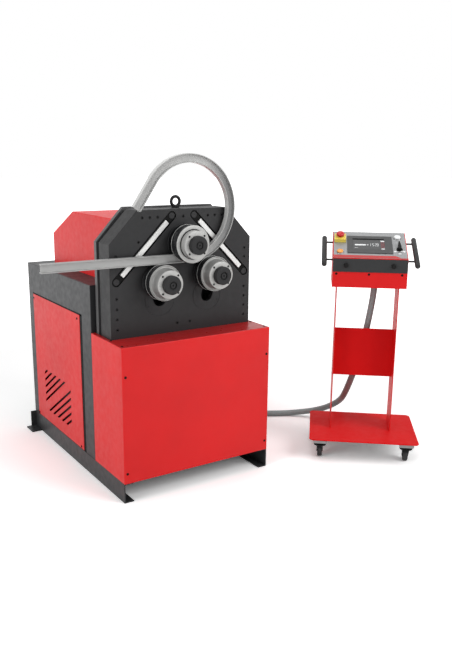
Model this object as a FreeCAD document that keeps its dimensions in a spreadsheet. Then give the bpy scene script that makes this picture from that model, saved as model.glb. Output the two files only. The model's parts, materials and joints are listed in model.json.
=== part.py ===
import FreeCAD, Part
import math
import os
import re
import Sketcher

os.makedirs("parts", exist_ok=True)
doc = FreeCAD.newDocument("profile_bender")
Vec = FreeCAD.Vector

# driving sizes, millimetres and degrees
SIZES = {
    # floor frame, covers and cabinet
    "side_half": 420, "sheet_thick": 3, "anchor_back": 1188, "anchor_out": 29, "anchor_hole_r": 9,
    "skid_high": 100, "skid_wide": 50, "skid_wall": 6, "skid_front": 4, "foot_back": 1241,
    "foot_leg": 100, "foot_wall": 8, "foot_tab": 60, "foot_upright_tab": 32, "floor_plate": 12,
    "floor_plate_gap": 8, "floor_plate_front": 20, "floor_plate_back": 1230, "cover_deep": 343,
    "cover_top": 773, "cover_slack": 2, "cab_step": 2, "cab_front": 347, "cab_back": 1250,
    "cab_top": 1010, "cab_wall": 4, "panel_front": 487, "panel_back": 1172, "panel_low": 104,
    "panel_top": 836, "panel_lap": 23, "louvre_front": 648, "louvre_back": 1040, "louvre_low": 173,
    "louvre_top": 416, "louvre_pitch": 41.5, "louvre_slope": 32, "louvre_open": 13, "louvre_first": 216,
    "hood_half": 296, "hood_front": 345, "hood_back": 1138, "hood_top": 1328, "hood_knee": 838,
    "hood_rear_top": 1187, "hood_lap": 11, "rear_panel_in": 58, "rear_panel_low": 130,
    "rear_panel_top": 940,
    # bending head
    "head_side_gap": 23.5, "head_top": 1378, "head_shoulder": 1225, "head_top_half": 250,
    "head_face": 160, "head_plate": 25, "head_gap_front": 272, "head_inner_back": 304, "rear_plate": 26,
    "head_wall": 20, "head_gap_inset": 9, "rear_rise": 7, "pivot_z": 1006, "arm_long": 148, "pivot_r": 40,
    "pivot_seat": 15, "slot_half": 33, "window_half": 46, "arc_up": 27, "arc_down": 25, "run_gap": 0.05,
    "cover_ring_r": 80, "cover_ring_wide": 2.4, "cover_ring_deep": 1.4, "guide_top_x": 62,
    "guide_top_z": 1347, "guide_edge": 34.5, "guide_half": 22, "guide_deep": 14, "bed_half": 19,
    "bed_thick": 10, "guide_bar_half": 12, "guide_bar_thick": 8, "guide_bar_inset": 39, "face_hole_r": 5,
    "column_in": 34, "face_hole_deep": 8, "eye_y": 237, "eye_ring_r": 23.5, "eye_wire_r": 7.5,
    "eye_foot_r": 19, "eye_foot_high": 6,
    # rolls, shafts, arms and cylinders
    "top_axis_z": 1215.5, "shaft_r": 30, "nose_r": 22, "shaft_back": 480, "housing_r": 80,
    "hole_slack": 3, "top_groove_r": 51, "top_disc_r": 91, "low_groove_r": 84.5, "low_disc_r": 86,
    "top_disc_front": 65, "low_disc_front": 78, "disc_back": 119, "groove_back": 149.5, "roll_back": 154,
    "collar_r": 68, "collar_front": 30, "rim_wide": 3, "rim_high": 0.8, "disc_ease": 0.7, "dish_rim": 4.5,
    "collar_groove": 5, "collar_groove_deep": 6, "nut_r": 45, "nut_cap": 8, "top_nut_front": 4,
    "low_nut_front": 4, "nut_ring_r": 20, "nut_ring_wide": 3, "nut_edge": 3, "work_gap": 0.3,
    "bar_high": 42, "bar_wide": 28, "bar_flange": 4.5, "bar_web": 6, "bar_mid_y": 134, "bar_left": 734,
    "bend_start": 16, "bend_r": 237, "bend_turn": 236, "bar_tail": 155, "hub_r": 65, "pivot_hub_r": 60,
    "hub_side_gap": 2, "neck_r": 42, "web_half": 42, "motor_r": 75, "motor_front": 335, "motor_back": 560,
    "motor_flange_r": 62, "motor_flange": 18, "anvil_r": 45, "anvil_thick": 30, "rod_r": 25,
    "rod_long": 430, "rod_x": 141, "barrel_r": 48, "barrel_low": 380, "barrel_top": 835, "beam_high": 40,
    "column_half": 30,
    # hydraulic unit inside the cabinet
    "tank_left": -350, "tank_right": -30, "tank_front": 700, "tank_back": 1180, "tank_top": 560,
    "unit_motor_r": 105, "unit_motor_x": -190, "unit_motor_y": 930, "unit_motor_top": 850,
    # console, in its own frame
    "console_x": 638.5, "console_y": -71.8, "console_turn": -40.2, "base_left": 12, "base_front": 6,
    "base_wide": 588, "base_deep": 475, "base_top": 130, "base_thick": 6, "base_corner": 25,
    "caster_in": 60, "caster_front": 70, "caster_rear": 395, "caster_plate": 76, "caster_trail": 26,
    "stem_r": 8, "crown_top": 95, "crown_r": 36, "crown_low": 74, "wheel_r": 35, "wheel_wide": 26,
    "axle_r": 5, "fork_gap": 1, "fork_thick": 3, "post_left": 127, "post_right": 458, "post_thick": 4,
    "post_front": 199, "post_back": 380, "back_low": 420, "back_top": 695, "back_y": 296, "back_thick": 3,
    "box_left": 99, "box_right": 489, "box_front": 110, "box_back": 360, "box_low": 957, "box_wall": 2,
    "band_low": 1040, "band_top": 1110, "band_thick": 2.5, "box_edge": 1112, "face_tilt": 24.2,
    "face_long": 271, "face_side": 4, "face_thick": 2, "face_rim": 16, "bezel_wide": 239, "bezel_low": 48,
    "bezel_long": 175, "bezel_thick": 4, "bezel_back": 30, "screen_left": 204, "screen_wide": 168,
    "screen_low": 88, "screen_long": 110, "screen_deep": 1.2, "estop_u": 137, "estop_v": 186,
    "estop_base": 61, "estop_base_thick": 20, "estop_r": 20.5, "estop_lift": 16, "estop_stem_r": 11,
    "estop_pin_r": 5, "orange_u": 136, "orange_v": 57, "orange_r": 17, "white_u": 443, "white_v": 212,
    "white_r": 18, "button_stem_r": 8, "button_lift": 5, "button_cap": 7, "selector_u": 448,
    "selector_v": 90, "selector_r": 16, "selector_long": 62, "selector_half": 9, "selector_tip": 3,
    "knob_left_x": 169, "knob_right_x": 415, "knob_z": 1075, "knob_r": 12, "knob_long": 16,
    "knob_stem_r": 4, "handle_out": 45, "handle_r": 11.5, "handle_low": -40, "handle_long": 276,
    "handle_drop": 17, "standoff_r": 5, "standoff_low": 10, "standoff_high": 186,
    # hose between machine and console
    "hose_r": 18, "gland_r": 25, "gland_long": 25, "gland_y": 780, "gland_z": 150, "hose_top_x": 339,
    "hose_top_y": 333,
}

# sizes that follow from the ones above
DERIVED = {
    "anchor_side": "side_half + anchor_out",
    "cab_half": "side_half - cab_step",
    "rear_panel_half": "cab_half - rear_panel_in",
    "head_half": "side_half - head_side_gap",
    "guide_run": "head_half - guide_top_x - guide_edge",
    "foot_front": "foot_back - foot_leg",
    "head_mid": "head_face + head_plate",
    "rear_back": "head_inner_back + rear_plate",
    "hub_front": "head_mid + hub_side_gap",
    "hub_back": "head_inner_back - hub_side_gap",
    "hub_mid": "(head_mid + head_inner_back)/2",
    "bar_top_z": "top_axis_z - top_groove_r - work_gap",
    "bar_low_z": "bar_top_z - bar_high",
    "loop_z": "bar_top_z - bar_high/2 + bend_r",
    "touch_r": "bend_r + bar_high/2 + low_groove_r + work_gap",
    "left_z": "bar_low_z - work_gap - low_groove_r",
    "left_x": "sqrt(arm_long^2 - (left_z - pivot_z)^2)",
    "loop_far": "sqrt(bend_start^2 + (loop_z - pivot_z)^2)",
    "right_cosine": "(arm_long^2 + loop_far^2 - touch_r^2)/(2*arm_long*loop_far)",
    "right_turn": "atan(bend_start/(loop_z - pivot_z)) + acos(right_cosine)",
    "right_z": "pivot_z + arm_long*cos(right_turn)",
    "right_x": "arm_long*sin(right_turn)",
    "base_right": "base_left + base_wide",
    "base_back": "base_front + base_deep",
    "slope_sin": "sin(face_tilt)",
    "box_mid": "(box_left + box_right)/2",
}

sheet = doc.addObject("Spreadsheet::Sheet", "Sizes")
for row, (alias, value) in enumerate(SIZES.items(), 1):
    sheet.set("A%d" % row, alias)
    sheet.set("B%d" % row, str(value))
    sheet.setAlias("B%d" % row, alias)
doc.recompute()


def bound(text):
    # turns the size names of a formula into references to the sheet
    def swap(match):
        word = match.group(0)
        if word in DERIVED:
            return "(" + bound(DERIVED[word]) + ")"
        return "Sizes." + word if word in SIZES else word
    return re.sub(r"[a-z_]+", swap, str(text))


def number(text):
    # the plain value of a formula, for angles and for the hose
    def swap(match):
        word = match.group(0)
        if word in DERIVED:
            return "(" + repr(number(DERIVED[word])) + ")"
        return repr(float(SIZES[word])) if word in SIZES else word
    probe = doc.getObject("Probe") or doc.addObject("App::FeaturePython", "Probe")
    if "Value" not in probe.PropertiesList:
        probe.addProperty("App::PropertyFloat", "Value")
    probe.setExpression("Value", re.sub(r"[a-z_]+", swap, str(text)))
    probe.recompute()
    return probe.Value


def put(thing, prop, text):
    thing.setExpression(prop, bound(text))


def at(thing, x, y, z):
    put(thing, "Placement.Base.x", x)
    put(thing, "Placement.Base.y", y)
    put(thing, "Placement.Base.z", z)
    return thing


def box(x0, x1, y0, y1, z0, z1):
    thing = doc.addObject("Part::Box", "box")
    put(thing, "Length", "(%s) - (%s)" % (x1, x0))
    put(thing, "Width", "(%s) - (%s)" % (y1, y0))
    put(thing, "Height", "(%s) - (%s)" % (z1, z0))
    return at(thing, x0, y0, z0)


# rotations that lay a cylinder along an axis
ALONG = {"x": FreeCAD.Rotation(Vec(0, 1, 0), 90), "y": FreeCAD.Rotation(Vec(1, 0, 0), -90),
         "z": FreeCAD.Rotation()}


def rod(axis, x, y, z, radius, length, swept=360, start=0.0):
    thing = doc.addObject("Part::Cylinder", "rod")
    thing.Placement = FreeCAD.Placement(Vec(), ALONG[axis] * FreeCAD.Rotation(Vec(0, 0, 1), start))
    put(thing, "Radius", radius)
    put(thing, "Height", length)
    put(thing, "Angle", swept)
    return at(thing, x, y, z)


def cone(axis, x, y, z, radius0, radius1, length):
    thing = doc.addObject("Part::Cone", "cone")
    thing.Placement = FreeCAD.Placement(Vec(), ALONG[axis])
    put(thing, "Radius1", radius0)
    put(thing, "Radius2", radius1)
    put(thing, "Height", length)
    return at(thing, x, y, z)


def joined(*shapes):
    if len(shapes) == 1:
        return shapes[0]
    thing = doc.addObject("Part::MultiFuse", "joined")
    thing.Shapes = list(shapes)
    return thing


def minus(base, *tools):
    thing = doc.addObject("Part::Cut", "cut")
    thing.Base = base
    thing.Tool = joined(*tools)
    return thing


def common(base, tool):
    thing = doc.addObject("Part::Common", "common")
    thing.Base = base
    thing.Tool = tool
    return thing


def sketched(body, role, corners, shift):
    # a closed outline whose corners are dimensioned from the sketch origin
    sketch = body.newObject("Sketcher::SketchObject", body.Name + "_outline")
    plane = [item for item in body.Origin.OriginFeatures if item.Role == role][0]
    sketch.AttachmentSupport = [(plane, "")]
    sketch.MapMode = "FlatFace"
    put(sketch, "AttachmentOffset.Base.z", shift)
    count = len(corners)
    spots = [Vec(number(u), number(v), 0) for u, v in corners]
    for i in range(count):
        sketch.addGeometry(Part.LineSegment(spots[i], spots[(i + 1) % count]), False)
    for i in range(count):
        sketch.addConstraint(Sketcher.Constraint("Coincident", i, 2, (i + 1) % count, 1))
    for i, (u, v) in enumerate(corners):
        across = sketch.addConstraint(Sketcher.Constraint("DistanceX", -1, 1, i, 1, spots[i].x))
        put(sketch, "Constraints[%d]" % across, u)
        up = sketch.addConstraint(Sketcher.Constraint("DistanceY", -1, 1, i, 1, spots[i].y))
        put(sketch, "Constraints[%d]" % up, v)
    return sketch


def plate(role, corners, low, high):
    # an outline pushed between two levels of the axis its plane faces
    body = doc.addObject("PartDesign::Body", "plate")
    shift = "-(%s)" % high if role == "XZ_Plane" else low
    pad = body.newObject("PartDesign::Pad", "pad")
    pad.Profile = sketched(body, role, corners, shift)
    put(pad, "Length", "(%s) - (%s)" % (high, low))
    return body


def turned(corners):
    # an outline of (radius, y) turned about the y axis
    body = doc.addObject("PartDesign::Body", "turned")
    sketch = sketched(body, "XY_Plane", corners, "0")
    turn = body.newObject("PartDesign::Revolution", "turn")
    turn.Profile = sketch
    turn.ReferenceAxis = (sketch, ["V_Axis"])
    turn.Angle = 360
    return body


def upright(corners):
    # an outline of (radius, z) turned about the z axis
    body = doc.addObject("PartDesign::Body", "upright")
    sketch = sketched(body, "XZ_Plane", corners, "0")
    turn = body.newObject("PartDesign::Revolution", "turn")
    turn.Profile = sketch
    turn.ReferenceAxis = (sketch, ["V_Axis"])
    turn.Angle = 360
    return body


def group(*shapes):
    thing = doc.addObject("Part::Compound", "group")
    thing.Links = list(shapes)
    return thing


NODES = []


def node(name, *shapes, x="0", z="0"):
    # a finished piece of the machine; the origin lies between the rear anchor holes
    thing = group(*shapes)
    thing.Label = name
    NODES.append(thing)
    return at(thing, x, "-anchor_back", z)


def console_node(name, *shapes):
    # a finished piece of the console, turned with it
    thing = group(*shapes)
    thing.Label = name
    thing.Placement.Rotation = FreeCAD.Rotation(Vec(0, 0, 1), SIZES["console_turn"])
    NODES.append(thing)
    return at(thing, "console_x", "console_y - anchor_back", "0")


def on_face(*shapes):
    # lays pieces drawn on the flat onto the sloping console face
    thing = group(*shapes)
    thing.Placement.Rotation = FreeCAD.Rotation(Vec(1, 0, 0), SIZES["face_tilt"])
    return at(thing, "0", "box_front", "box_edge")


def both(make):
    return make(-1), make(1)


# skids: channels that open inward, set into notches of the rear foot angle
def skid_bar(side):
    x0, x1 = ("-side_half", "skid_wide - side_half") if side < 0 else ("side_half - skid_wide", "side_half")
    return box(x0, x1, "skid_front", "foot_back - foot_wall", "0", "skid_high")


def skid(side):
    x0, x1 = (("skid_wall - side_half", "skid_wide - side_half + 1") if side < 0
              else ("side_half - skid_wide - 1", "side_half - skid_wall"))
    return minus(skid_bar(side), box(x0, x1, "skid_front - 1", "foot_back", "skid_wall",
                                     "skid_high - skid_wall"))


flat = box("-side_half - foot_tab", "side_half + foot_tab", "foot_front", "foot_back", "0", "foot_wall")
wall = box("-side_half - foot_upright_tab", "side_half + foot_upright_tab",
           "foot_back - foot_wall", "foot_back", "0", "skid_high")
holes = both(lambda s: rod("z", "%d*anchor_side" % s, "anchor_back", "-1", "anchor_hole_r", "foot_wall + 2"))
node("skids", minus(joined(flat, wall), *holes, *both(skid_bar)), *both(skid))

# inner frame: floor plate, two columns and the beam that ties the head plates
bed = box("-side_half + floor_plate_gap", "side_half - floor_plate_gap", "floor_plate_front",
          "floor_plate_back", "skid_high", "skid_high + floor_plate")
beam = box("-head_half + head_wall", "head_half - head_wall", "head_mid", "head_inner_back",
           "barrel_low - beam_high", "barrel_low")
columns = both(lambda s: box("%d*rod_x - column_half" % s, "%d*rod_x + column_half" % s,
                             "hub_mid - column_half", "hub_mid + column_half",
                             "skid_high", "barrel_low"))
node("inner_frame", joined(bed, beam, *columns))

# front cover: folded sheet, cut out round the head
shell = box("-side_half", "side_half", "0", "cover_deep", "skid_high", "cover_top")
room = box("-side_half + sheet_thick", "side_half - sheet_thick", "sheet_thick", "cover_deep + 1",
           "skid_high - 1", "cover_top - sheet_thick")
mouth = box("-head_half - cover_slack", "head_half + cover_slack", "head_face - cover_slack",
            "cover_deep + 1", "cover_top - sheet_thick - 1", "cover_top + 1")
node("front_cover", minus(shell, room, mouth))

# cabinet: four walls with a window behind each panel, open under the hood and towards the head
shell = box("-cab_half", "cab_half", "cab_front", "cab_back", "skid_high", "cab_top")
room = box("-cab_half + cab_wall", "cab_half - cab_wall", "cab_front + cab_wall", "cab_back - cab_wall",
           "skid_high - 1", "cab_top - cab_wall")
side_window = box("-cab_half - 1", "cab_half + 1", "panel_front + panel_lap", "panel_back - panel_lap",
                  "panel_low + panel_lap", "panel_top - panel_lap")
rear_window = box("-rear_panel_half + panel_lap", "rear_panel_half - panel_lap", "cab_back - cab_wall - 1",
                  "cab_back + 1", "rear_panel_low + panel_lap", "rear_panel_top - panel_lap")
front_window = box("-hood_half", "hood_half", "cab_front - 1", "cab_front + cab_wall + 1",
                   "skid_high + 40", "cab_top + 1")
top_window = box("-hood_half + hood_lap", "hood_half - hood_lap", "cab_front - 1", "hood_back - hood_lap",
                 "cab_top - cab_wall - 1", "cab_top + 1")
plate_room = box("-cab_half + cab_wall", "cab_half - cab_wall", "cab_front - 1", "cab_front + cab_wall + 1",
                 "skid_high - 1", "skid_high + floor_plate")
node("cabinet_shell", minus(shell, room, side_window, rear_window, front_window, top_window, plate_room))

# rear panel with level slots
sheet_low = box("-rear_panel_half", "rear_panel_half", "cab_back", "cab_back + sheet_thick",
                "rear_panel_low", "rear_panel_top")
slots = [box("%d*200 - 90" % s, "%d*200 + 90" % s, "cab_back - 1", "cab_back + sheet_thick + 1",
             "rear_panel_top - 90 - %d*30" % i, "rear_panel_top - 80 - %d*30" % i)
         for i in range(6) for s in (-1, 1)]
node("rear_panel", minus(sheet_low, *slots))


# side panels with slots that rise towards the front; one diagonal is left plain
def side_panel(side):
    x0, x1 = ("-cab_half - sheet_thick", "-cab_half") if side < 0 else ("cab_half", "cab_half + sheet_thick")
    panel = box(x0, x1, "panel_front", "panel_back", "panel_low", "panel_top")
    bars = []
    for step in [k for k in range(-6, 5) if k != -1]:
        bar = doc.addObject("Part::Box", "bar")
        bar.Placement.Rotation = FreeCAD.Rotation(Vec(1, 0, 0), -SIZES["louvre_slope"])
        put(bar, "Length", "sheet_thick + 4")
        put(bar, "Width", "(louvre_back - louvre_front + 120)/cos(louvre_slope)")
        put(bar, "Height", "louvre_open")
        at(bar, x0 + " - 2", "louvre_front - 60",
           "louvre_first + %d*louvre_pitch + (louvre_back - louvre_front + 60)*tan(louvre_slope)" % step)
        bars.append(bar)
    field = box(x0 + " - 1", x1 + " + 1", "louvre_front", "louvre_back", "louvre_low", "louvre_top")
    return minus(panel, common(joined(*bars), field))


node("side_panel_left", side_panel(-1))
node("side_panel_right", side_panel(1))

# top hood: folded sheet, open at the bottom and towards the head
outer = [("hood_front", "cab_top"), ("hood_back", "cab_top"), ("hood_back", "hood_rear_top"),
         ("hood_knee", "hood_top"), ("hood_front", "hood_top")]
inner = [("hood_front - 1", "cab_top - 1"), ("hood_back - sheet_thick", "cab_top - 1"),
         ("hood_back - sheet_thick", "hood_rear_top - sheet_thick"),
         ("hood_knee - sheet_thick", "hood_top - sheet_thick"), ("hood_front - 1", "hood_top - sheet_thick")]
node("top_hood", minus(plate("YZ_Plane", outer, "-hood_half", "hood_half"),
                       plate("YZ_Plane", inner, "-hood_half + sheet_thick", "hood_half - sheet_thick")))


def head_outline(low, inset="0", rise="0"):
    # the chamfered outline shared by the head plates
    half = "head_half - " + inset
    top_half = "head_top_half - 0.41*" + inset
    shoulder = "head_shoulder - 0.41*" + inset
    top = "head_top - %s + %s" % (inset, rise)
    return [("-(%s)" % half, low), (half, low), (half, shoulder), (top_half, top),
            ("-(%s)" % top_half, top), ("-(%s)" % half, shoulder)]


def arc_window(side, half, front, back):
    # a curved slot along the path of a swing arm's shaft
    top = SIZES["arc_up"] if side > 0 else 180 + SIZES["arc_down"]
    ring = minus(rod("y", "0", front, "pivot_z", "arm_long + " + half, "(%s) - (%s)" % (back, front),
                     "arc_up + arc_down", -top),
                 rod("y", "0", front + " - 1", "pivot_z", "arm_long - " + half,
                     "(%s) - (%s) + 2" % (back, front)))
    ends = [rod("y", "%d*arm_long*cos(%s)" % (side, angle), front, "pivot_z + arm_long*sin(%s)" % angle,
                half, "(%s) - (%s)" % (back, front)) for angle in ("arc_up", "-arc_down")]
    return joined(ring, *ends)


def guide_block(side, start, stop, half, front, back, rounded):
    # a bar along the diagonal guide; start and stop are measured from its upper end
    turn = 45 if side > 0 else -45
    first = start if side > 0 else stop
    thing = doc.addObject("Part::Box", "guide")
    thing.Placement.Rotation = FreeCAD.Rotation(Vec(0, 1, 0), turn)
    put(thing, "Length", "(%s) - (%s)" % (stop, start))
    put(thing, "Width", "(%s) - (%s)" % (back, front))
    put(thing, "Height", "2*" + half)
    at(thing, "%d*(guide_top_x + (%s)*sin(45)) - %d*%s*sin(45)" % (side, first, side, half), front,
       "guide_top_z - (%s)*sin(45) - %s*sin(45)" % (first, half))
    if not rounded:
        return thing
    ends = [rod("y", "%d*(guide_top_x + (%s)*sin(45))" % (side, end), front,
                "guide_top_z - (%s)*sin(45)" % end, half, "(%s) - (%s)" % (back, front))
            for end in (start, stop)]
    return joined(thing, *ends)


# head front plate: arc slots, shaft hole, guide pockets, cover rings and face holes
GUIDE_LONG = "guide_run*sqrt(2)"
HIDDEN = "skid_high + floor_plate"
tools = list(both(lambda s: arc_window(s, "slot_half", "head_face - 1", "head_mid + 1")))
tools += both(lambda s: guide_block(s, "0*guide_run", GUIDE_LONG, "guide_half", "head_face - 1",
                                    "head_face + guide_deep", True))
for side in (-1, 1):
    ring_x = "%d*arm_long*cos(arc_down)" % side
    ring_z = "pivot_z - arm_long*sin(arc_down)"
    tools.append(minus(rod("y", ring_x, "head_face - 1", ring_z, "cover_ring_r + cover_ring_wide/2",
                           "cover_ring_deep + 1"),
                       rod("y", ring_x, "head_face - 2", ring_z, "cover_ring_r - cover_ring_wide/2",
                           "cover_ring_deep + 3")))
tools.append(rod("y", "0", "head_face - 1", "top_axis_z", "shaft_r + hole_slack", "head_plate + 2"))
tools.append(rod("y", "0", "head_mid - pivot_seat", "pivot_z", "pivot_r", "pivot_seat + 1"))
TOP_ROW = [0, 140, 181, 222]
COLUMN = [1168, 1123, 967, 917, 869, 818]
spots = [(s * x, 1342) for x in TOP_ROW for s in (-1, 1) if x or s > 0]
spots += [("%d*(head_half - column_in)" % s, z) for z in COLUMN for s in (-1, 1)]
spots += [(s * 244, 1229) for s in (-1, 1)] + [(s * 36, 817) for s in (-1, 1)]
tools += [rod("y", x, "head_face - 1", z, "face_hole_r", "face_hole_deep + 1") for x, z in spots]
node("head_front_plate", minus(plate("XZ_Plane", head_outline(HIDDEN), "head_face", "head_mid"), *tools))

# head surround: a full ring behind the front plate and a set-back ring before the rear plate
node("head_surround", minus(joined(plate("XZ_Plane", head_outline(HIDDEN), "head_mid", "head_gap_front"),
                                   plate("XZ_Plane", head_outline(HIDDEN, "head_gap_inset"),
                                         "head_gap_front - 1", "head_inner_back")),
                            plate("XZ_Plane", head_outline(HIDDEN + " - 1", "head_wall"), "head_mid - 1",
                                  "head_inner_back + 1")))

# head rear plate with the motor windows
tools = list(both(lambda s: arc_window(s, "window_half", "head_inner_back - 1", "rear_back + 1")))
tools.append(rod("y", "0", "head_inner_back - 1", "pivot_z", "pivot_r", "rear_plate - 9"))
tools.append(rod("y", "0", "head_inner_back - 1", "top_axis_z", "shaft_r + hole_slack", "rear_plate + 2"))
node("head_rear_plate", minus(plate("XZ_Plane", head_outline(HIDDEN, rise="rear_rise"),
                                    "head_inner_back", "rear_back"), *tools))

# diagonal guides in the face
node("guide_beds", *both(lambda s: guide_block(s, "0*guide_run", GUIDE_LONG, "bed_half",
                                               "head_face + guide_deep - bed_thick",
                                               "head_face + guide_deep", True)))
node("guide_bars", *both(lambda s: guide_block(s, "guide_bar_inset", GUIDE_LONG + " - guide_bar_inset",
                                               "guide_bar_half",
                                               "head_face + guide_deep - bed_thick - guide_bar_thick",
                                               "head_face + guide_deep - bed_thick", False)))

# lifting eye on the head
ring = doc.addObject("Part::Torus", "ring")
ring.Placement.Rotation = ALONG["y"]
put(ring, "Radius1", "eye_ring_r")
put(ring, "Radius2", "eye_wire_r")
at(ring, "0", "eye_y", "head_top + eye_ring_r + eye_wire_r")
node("lifting_eye", joined(ring, rod("z", "0", "eye_y", "head_top", "eye_foot_r", "eye_foot_high")))

# top roll bearing housing and the shaft the arms swing on
housing = rod("y", "0", "head_mid", "top_axis_z", "housing_r", "head_inner_back - head_mid")
bore = rod("y", "0", "head_mid - 1", "top_axis_z", "shaft_r + run_gap", "head_inner_back - head_mid + 2")
node("top_bearing_housing", minus(housing, bore))
node("arm_pivot_shaft", rod("y", "0", "head_mid - pivot_seat", "pivot_z", "pivot_r",
                            "head_inner_back - head_mid + pivot_seat + rear_plate - 10"))


# hydraulic cylinders under the arms
def barrel(side):
    tube = rod("z", "%d*rod_x" % side, "hub_mid", "barrel_low", "barrel_r", "barrel_top - barrel_low")
    return minus(tube, rod("z", "%d*rod_x" % side, "hub_mid", "barrel_low + 15", "rod_r + run_gap",
                           "barrel_top - barrel_low"))


node("cylinder_barrels", *both(barrel))


def piston(side, hub_z):
    top = hub_z + " - hub_r - work_gap"
    head = rod("z", "%d*rod_x" % side, "hub_mid", top + " - anvil_thick", "anvil_r", "anvil_thick")
    return joined(head, rod("z", "%d*rod_x" % side, "hub_mid", top + " - anvil_thick - rod_long",
                            "rod_r", "rod_long"))


node("left_rod", piston(-1, "left_z"))
node("right_rod", piston(1, "right_z"))


# swing arm: pivot hub, web, roll hub and the neck that carries the motor
def arm(side, x, z, hub_front, hub_back):
    rise = "((%s) - pivot_z)" % z
    nx, nz = "(%s*web_half/arm_long)" % rise, "((%s)*web_half/arm_long)" % x
    px = "%d*(%s)" % (side, x)
    web = plate("XZ_Plane", [("%d*%s" % (side, nx), "pivot_z - " + nz),
                             (px + " + %d*%s" % (side, nx), "(%s) - %s" % (z, nz)),
                             (px + " - %d*%s" % (side, nx), "(%s) + %s" % (z, nz)),
                             ("-%d*%s" % (side, nx), "pivot_z + " + nz)], hub_front, hub_back)
    body = joined(rod("y", "0", hub_front, "pivot_z", "pivot_hub_r", "(%s) - (%s)" % (hub_back, hub_front)),
                  web, rod("y", px, "hub_front", z, "hub_r", "hub_back - hub_front"),
                  rod("y", px, "hub_back - 1", z, "neck_r", "motor_front - hub_back + 1"))
    return minus(body, rod("y", "0", "head_mid", "pivot_z", "pivot_r + run_gap", "head_plate*5"),
                 rod("y", px, "head_mid", z, "shaft_r + run_gap", "motor_front - head_mid + 1"))


node("left_arm", arm(-1, "left_x", "left_z", "hub_front", "hub_mid - 1"))
node("right_arm", arm(1, "right_x", "right_z", "hub_mid + 1", "hub_back"))


# drive motors, each with a blind bore for its shaft
def motor(front):
    body = joined(rod("y", "0", front, "0", "motor_flange_r", "motor_flange"),
                  rod("y", "0", front + " + motor_flange", "0", "motor_r",
                      "motor_back - motor_front - motor_flange"))
    return minus(body, rod("y", "0", front + " - 1", "0", "shaft_r + run_gap",
                           "shaft_back - (%s) + 11" % front))


node("left_motor", motor("motor_front"), x="-left_x", z="left_z")
node("right_motor", motor("motor_front"), x="right_x", z="right_z")
node("top_drive_motor", motor("rear_back"), z="top_axis_z")


# shafts, rolls and nuts turn about the y axis
def shaft(collar, nut):
    return turned([("0*shaft_r", nut + " + nut_cap"), ("nose_r", nut + " + nut_cap"), ("nose_r", collar),
                   ("shaft_r", collar), ("shaft_r", "shaft_back"), ("0*shaft_r", "shaft_back")])


def nut(front, collar):
    return turned([("0*nut_r", front + " + 6"), ("4", front + " + 4"), ("4", front + " + 2"),
                   ("nut_ring_r - nut_ring_wide", front + " + 2"), ("nut_ring_r - nut_ring_wide", front),
                   ("nut_ring_r", front), ("nut_ring_r + 4", front), ("nut_r - nut_edge", front),
                   ("nut_r", front + " + nut_edge"), ("nut_r", collar), ("nose_r", collar),
                   ("nose_r", front + " + nut_cap"), ("0*nut_r", front + " + nut_cap")])


def edge(disc_r):
    # side of a front disc, with the raised rim at its rear edge
    return [(disc_r, "disc_back - rim_wide"), (disc_r + " + rim_high", "disc_back - rim_wide"),
            (disc_r + " + rim_high", "disc_back"), ("shaft_r", "disc_back")]


def spool(groove, disc_r):
    return turned([("shaft_r", "disc_back"), (groove, "disc_back"), (groove, "groove_back"),
                   (disc_r + " - disc_ease", "groove_back"), (disc_r, "groove_back + disc_ease"),
                   (disc_r, "roll_back - disc_ease"), (disc_r + " - disc_ease", "roll_back"),
                   ("shaft_r", "roll_back")])


node("top_shaft", shaft("collar_front", "top_nut_front"), z="top_axis_z")
node("left_shaft", shaft("collar_front", "low_nut_front"), x="-left_x", z="left_z")
node("right_shaft", shaft("collar_front", "low_nut_front"), x="right_x", z="right_z")
node("top_nut", nut("top_nut_front", "collar_front"), z="top_axis_z")
node("left_nut", nut("low_nut_front", "collar_front"), x="-left_x", z="left_z")
node("right_nut", nut("low_nut_front", "collar_front"), x="right_x", z="right_z")

front_disc = turned([("shaft_r", "collar_front"), ("collar_r - 1.5", "collar_front"),
                     ("collar_r", "collar_front + 1.5"),
                     ("collar_r", "top_disc_front + collar_groove_deep"),
                     ("collar_r + collar_groove", "top_disc_front + collar_groove_deep"),
                     ("collar_r + collar_groove", "top_disc_front"), ("top_disc_r - 1.5", "top_disc_front"),
                     ("top_disc_r", "top_disc_front + 1.5"), *edge("top_disc_r")])
node("top_roll", front_disc, spool("top_groove_r", "top_disc_r"), z="top_axis_z")


def low_roll():
    # the hub of a lower roll widens towards its disc
    disc = turned([("shaft_r", "collar_front"), ("collar_r - 2", "collar_front"),
                   ("collar_r", "collar_front + 2"), ("collar_r", "collar_front + 4"),
                   ("low_disc_r - dish_rim", "low_disc_front"), ("low_disc_r - 1", "low_disc_front"),
                   ("low_disc_r", "low_disc_front + 1"), *edge("low_disc_r")])
    return disc, spool("low_groove_r", "low_disc_r")


node("left_roll", *low_roll(), x="-left_x", z="left_z")
node("right_roll", *low_roll(), x="right_x", z="right_z")


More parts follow.
